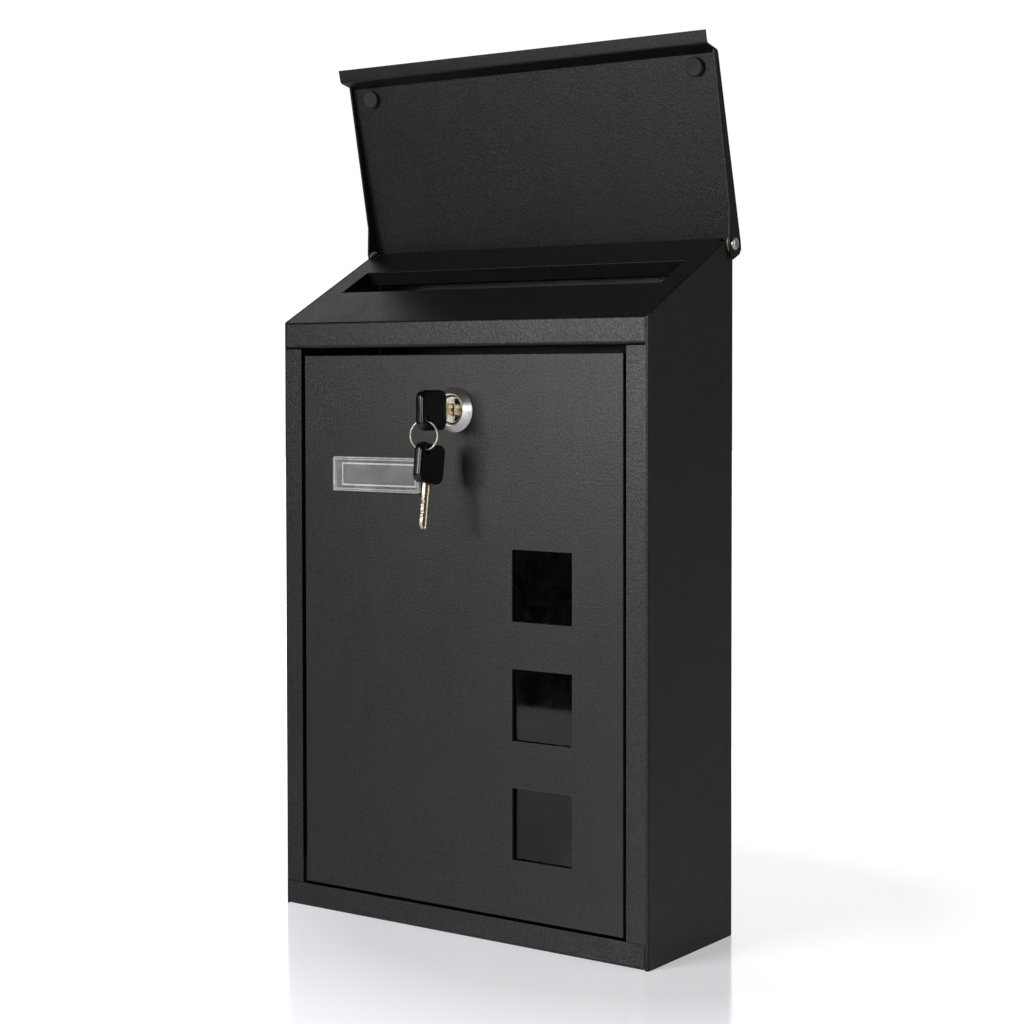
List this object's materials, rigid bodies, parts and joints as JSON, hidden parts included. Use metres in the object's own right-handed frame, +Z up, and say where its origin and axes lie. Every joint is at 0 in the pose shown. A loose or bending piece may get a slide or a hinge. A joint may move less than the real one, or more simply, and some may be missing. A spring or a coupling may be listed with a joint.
{
  "type": "parcel drop box",
  "caption": "Wall-mounted steel letter box with a sloping slotted top under a hinged rain lid, and a lockable drop-down front door with small windows, a name plate and keys.",
  "frame": {"origin": "middle of the cabinet's underside, which is the base face", "axes": "+Z up, front of the box towards -Y, back towards the wall at +Y, +X to the right as seen from the front"},
  "size_m": [0.2682, 0.1326, 0.5126],
  "materials": {
    "coat": "fine-textured graphite powder coat, satin",
    "coat_door": "fine-textured graphite powder coat, satin",
    "coat_lid": "fine-textured graphite powder coat, satin",
    "zinc": "zinc plated, satin",
    "chrome": "polished chrome plate",
    "plug_metal": "turned and lightly brushed",
    "key_metal": "nickel-plated brass, pale",
    "ring_metal": "nickel-plated wire, polished",
    "rubber": "matt black rubber",
    "key_plastic": "gloss black moulding",
    "nylon": "natural grey nylon",
    "pane": "smoked clear acrylic sheet",
    "plate": "clear moulded plastic",
    "foam": "black foam adhesive tape",
    "card": "uncoated grey-white card"
  },
  "bodies": {
    "cabinet": {"wrap_shell": "coat", "top_panel": "coat", "bottom_panel": "coat", "hinge_bracket_left": "coat", "hinge_bracket_right": "coat", "lid_rivet_left": "zinc", "lid_rivet_right": "zinc", "lid_washer_left": "nylon", "lid_washer_right": "nylon"},
    "lid": {"lid_panel": "coat_lid", "lid_bumper_left": "rubber", "lid_bumper_right": "rubber"},
    "door": {"door_panel": "coat_door", "door_pin_left": "zinc", "door_pin_right": "zinc", "window_pane": "pane", "pane_tape_left": "foam", "pane_tape_right": "foam", "nameplate_holder": "plate", "nameplate_tape": "foam", "lock_body": "chrome", "lock_washer": "zinc", "lock_nut": "zinc"},
    "card": {"name_card": "card"},
    "plug": {"lock_plug": "plug_metal", "lock_cam": "zinc", "cam_washer": "zinc", "cam_screw": "zinc"},
    "key": {"key_blade": "key_metal", "key_head": "key_plastic"},
    "ring": {"key_ring": "ring_metal"},
    "spare_key": {"spare_key_blade": "key_metal", "spare_key_head": "key_plastic"}
  },
  "joints": [
    {"name": "lid_hinge", "type": "hinge", "parent": "cabinet", "child": "lid", "pos_m": [0, 0.042, 0.396], "axis": [1, 0, 0], "range_deg": [-10, 103.5]},
    {"name": "door_hinge", "type": "hinge", "parent": "cabinet", "child": "door", "pos_m": [0, -0.0395, 0.0235], "axis": [1, 0, 0], "range_deg": [0, 105]},
    {"name": "card_slide", "type": "slide", "parent": "door", "child": "card", "axis": [1, 0, 0], "range_m": [0, 0.057]},
    {"name": "plug_turn", "type": "hinge", "parent": "door", "child": "plug", "pos_m": [0, -0.0455, 0.302], "axis": [0, 1, 0], "range_deg": [0, 90]},
    {"name": "key_slide", "type": "slide", "parent": "plug", "child": "key", "axis": [0, -1, 0], "range_m": [0, 0.022]},
    {"name": "ring_swing", "type": "hinge", "parent": "key", "child": "ring", "pos_m": [0, -0.0742, 0.2962], "axis": [1, 0, 0], "range_deg": [-80, 8]},
    {"name": "spare_key_swing", "type": "hinge", "parent": "ring", "child": "spare_key", "pos_m": [0, -0.0742, 0.2797], "axis": [1, 0, 0], "range_deg": [-60, 10]}
  ]
}
